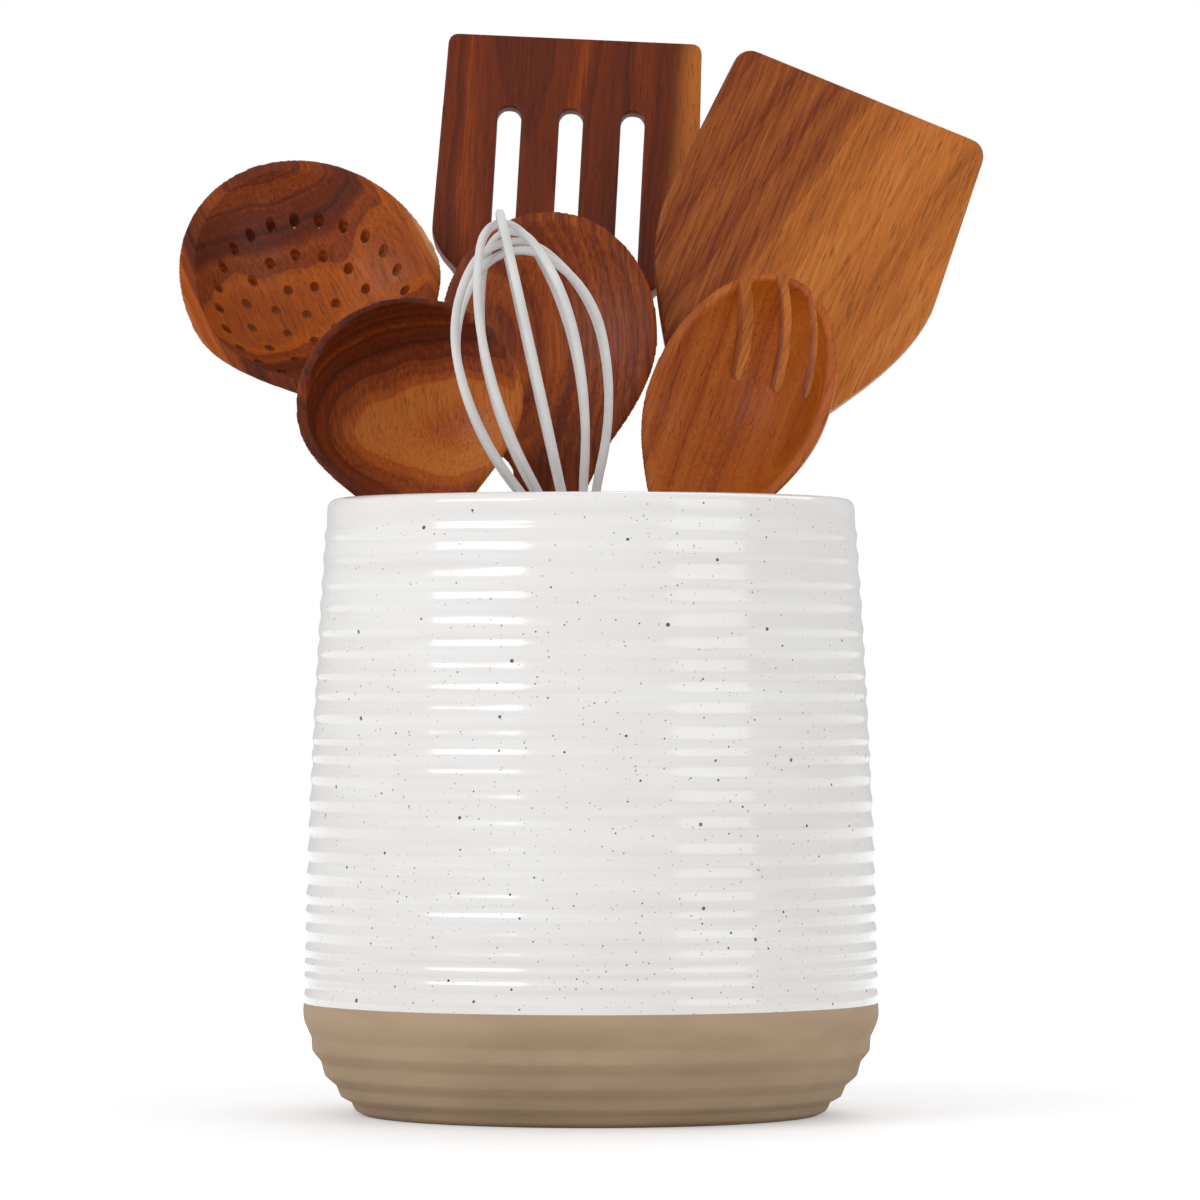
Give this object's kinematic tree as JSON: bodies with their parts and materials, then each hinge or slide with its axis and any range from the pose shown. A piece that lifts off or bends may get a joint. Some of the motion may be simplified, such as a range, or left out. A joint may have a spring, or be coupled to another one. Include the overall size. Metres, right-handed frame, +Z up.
{
  "type": "utensil crock",
  "caption": "Round ribbed stoneware crock, white-glazed above a bare clay heel, holding wooden spoons, turners, a fork and a coated balloon whisk that lift out.",
  "frame": {"origin": "centre of the crock's flat foot, on the surface it stands on", "axes": "+Z up along the crock's axis, +X to a viewer's right, -Y towards the viewer"},
  "size_m": [0.2384, 0.1985, 0.3218],
  "materials": {
    "raw_clay": "matte",
    "white_glaze": "glossy",
    "red_brown_wood": "satin",
    "golden_wood": "satin",
    "pale_streaked_wood": "satin",
    "grey_silicone": "satin",
    "brushed_steel": "brushed"
  },
  "bodies": {
    "crock": {"crock_body": "raw_clay", "crock_glaze": "white_glaze"},
    "slotted_turner": {"slotted_turner": "red_brown_wood"},
    "solid_turner": {"solid_turner": "pale_streaked_wood"},
    "skimmer": {"skimmer": "pale_streaked_wood"},
    "serving_spoon": {"serving_spoon": "golden_wood"},
    "mixing_spoon": {"mixing_spoon": "red_brown_wood"},
    "salad_fork": {"salad_fork": "golden_wood"},
    "whisk": {"whisk_handle": "golden_wood", "whisk_ferrule": "brushed_steel", "whisk_plug": "grey_silicone", "whisk_core_1": "brushed_steel", "whisk_coating_1": "grey_silicone", "whisk_core_2": "brushed_steel", "whisk_coating_2": "grey_silicone", "whisk_core_3": "brushed_steel", "whisk_coating_3": "grey_silicone", "whisk_core_4": "brushed_steel", "whisk_coating_4": "grey_silicone", "whisk_core_5": "brushed_steel", "whisk_coating_5": "grey_silicone"}
  },
  "joints": [
    {"name": "slotted_turner_lift", "type": "slide", "parent": "crock", "child": "slotted_turner", "axis": [0.0499, 0.345, 0.9373], "range_m": [0, 0.217]},
    {"name": "solid_turner_lift", "type": "slide", "parent": "crock", "child": "solid_turner", "axis": [0.3827, 0.0888, 0.9196], "range_m": [0, 0.185]},
    {"name": "skimmer_lift", "type": "slide", "parent": "crock", "child": "skimmer", "axis": [-0.4327, 0.2988, 0.8506], "range_m": [0, 0.207]},
    {"name": "serving_spoon_lift", "type": "slide", "parent": "crock", "child": "serving_spoon", "axis": [-0.1215, -0.0468, 0.9915], "range_m": [0, 0.29]},
    {"name": "mixing_spoon_lift", "type": "slide", "parent": "crock", "child": "mixing_spoon", "axis": [-0.044, 0.2284, 0.9726], "range_m": [0, 0.19]},
    {"name": "salad_fork_lift", "type": "slide", "parent": "crock", "child": "salad_fork", "axis": [0.3543, 0.097, 0.9301], "range_m": [0, 0.182]},
    {"name": "whisk_lift", "type": "slide", "parent": "crock", "child": "whisk", "axis": [-0.2152, 0.0793, 0.9733], "range_m": [0, 0.176]}
  ]
}
